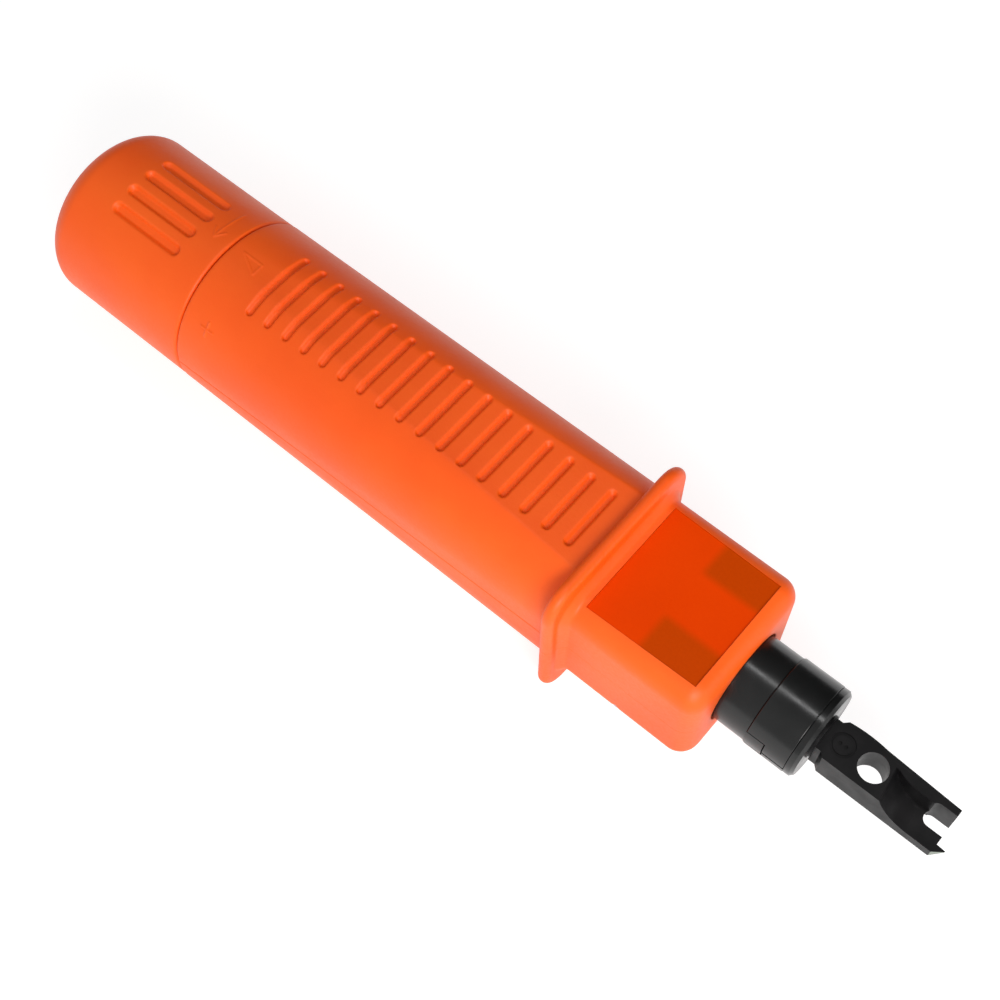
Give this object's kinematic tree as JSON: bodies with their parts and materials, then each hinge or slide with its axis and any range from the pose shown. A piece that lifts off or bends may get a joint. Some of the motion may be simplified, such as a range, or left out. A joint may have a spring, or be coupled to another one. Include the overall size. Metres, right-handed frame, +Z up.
{
  "type": "punch down tool",
  "caption": "Hand-held impact tool with a turn-to-adjust butt knob, ribbed grip, finger guard, spring plunger and a forked punch-and-cut blade in a twist socket.",
  "frame": {"origin": "centre of the tool's bounding box, on the axis that the knob, plunger and blade share", "axes": "+X along the tool towards the blade's tip, +Z up through the ribbed and labelled face, +Y across the finger guard; the shells part on z = 0"},
  "size_m": [0.1736, 0.0324, 0.0301],
  "materials": {
    "orange_plastic": "satin moulded ABS with soft edges",
    "label_film": "semi-gloss printed film",
    "inner_plastic": "natural acetal",
    "black_oxide_steel": "black oxide, oiled, semi-gloss",
    "blade_steel": "black oxide on ground tool steel, bare at the cutting edge",
    "bright_steel": "turned and ground steel",
    "spring_steel": "drawn spring wire",
    "rubber_black": "nitrile rubber"
  },
  "bodies": {
    "housing": {"housing_upper": "orange_plastic", "housing_lower": "orange_plastic", "housing_screws": "bright_steel", "nose_label": "label_film", "trip_cam": "bright_steel", "hammer_sleeve": "bright_steel", "nose_bushing": "inner_plastic", "front_bumper": "rubber_black", "knob_drag_ring": "rubber_black"},
    "adjuster": {"adjuster_knob": "orange_plastic", "adjuster_screw": "bright_steel", "thrust_washer": "bright_steel", "screw_clip": "spring_steel"},
    "seat": {"spring_seat": "bright_steel", "impact_spring": "spring_steel"},
    "plunger": {"spindle": "black_oxide_steel", "striker_pin": "bright_steel", "spindle_key_pin": "bright_steel", "lock_collar": "black_oxide_steel", "socket_cap": "black_oxide_steel", "blade_retaining_ring": "spring_steel", "reset_spring": "spring_steel"},
    "hammer": {"hammer": "bright_steel", "sear_spring": "spring_steel"},
    "sear": {"sear_plate": "bright_steel"},
    "blade": {"blade": "blade_steel"}
  },
  "joints": [
    {"name": "adjuster_twist", "type": "hinge", "parent": "housing", "child": "adjuster", "pos_m": [-0.06, 0, 0], "axis": [-1, 0, 0], "range_deg": [0, 180]},
    {"name": "seat_slide", "type": "slide", "parent": "housing", "child": "seat", "axis": [1, 0, 0], "range_m": [0, 0.004], "deforming": ["impact_spring"]},
    {"name": "plunger_slide", "type": "slide", "parent": "housing", "child": "plunger", "axis": [-1, 0, 0], "range_m": [0, 0.01], "stiffness_N_per_m": 1500, "springref_m": -0.01},
    {"name": "hammer_slide", "type": "slide", "parent": "housing", "child": "hammer", "axis": [-1, 0, 0], "range_m": [0, 0.01], "deforming": ["impact_spring"]},
    {"name": "sear_slide", "type": "slide", "parent": "hammer", "child": "sear", "axis": [0, 0, -1], "range_m": [0, 0.0016], "deforming": ["sear_spring"]},
    {"name": "blade_twist", "type": "hinge", "parent": "plunger", "child": "blade", "pos_m": [0.055, 0, 0], "axis": [1, 0, 0], "range_deg": [0, 90]}
  ],
  "couplings": [
    {"joint": "seat_slide", "follows": "adjuster_twist", "m_per_rad": 0.00127},
    {"joint": "hammer_slide", "follows": "plunger_slide", "ratio": 1},
    {"joint": "sear_slide", "follows": "plunger_slide", "ratio": 0.16}
  ]
}
